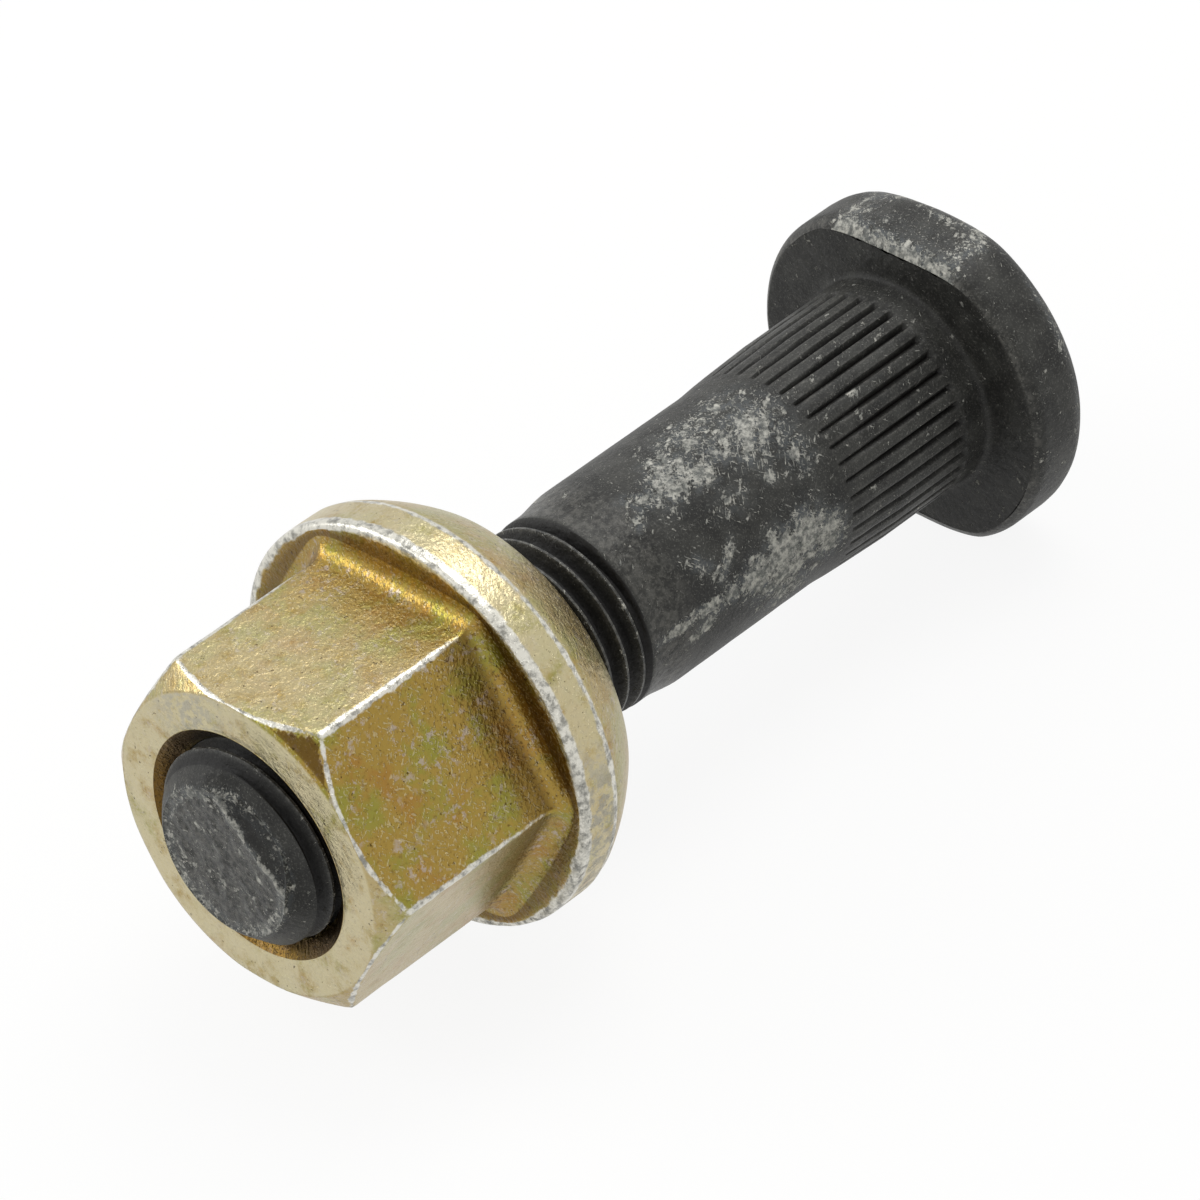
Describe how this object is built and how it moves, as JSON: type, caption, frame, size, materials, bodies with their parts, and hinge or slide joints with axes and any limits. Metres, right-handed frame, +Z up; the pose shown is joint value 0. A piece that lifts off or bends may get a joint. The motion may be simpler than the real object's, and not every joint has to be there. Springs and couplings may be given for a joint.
{
  "type": "wheel stud",
  "caption": "Press-in wheel stud with a double-flat head, splined neck and plain shank, with its hexagonal collar nut run on to the thread.",
  "frame": {"origin": "centre of the seat face under the stud's head, on the stud's axis", "axes": "+X along the stud towards its free end, +Z up and square to the head's two flats; the part lies on the head's lower flat and the collar's rim"},
  "size_m": [0.0696, 0.0294, 0.0294],
  "materials": {
    "stud_steel": "matt black phosphate on forged steel, scuffed grey",
    "nut_zinc": "yellow passivated zinc on forged steel, worn silver on its edges"
  },
  "bodies": {
    "stud_body": {"stud": "stud_steel"},
    "nut_body": {"wheel_nut": "nut_zinc"}
  },
  "joints": [
    {"name": "nut_travel", "type": "slide", "parent": "stud_body", "child": "nut_body", "axis": [1, 0, 0], "range_m": [-0.0075, 0.024]}
  ]
}
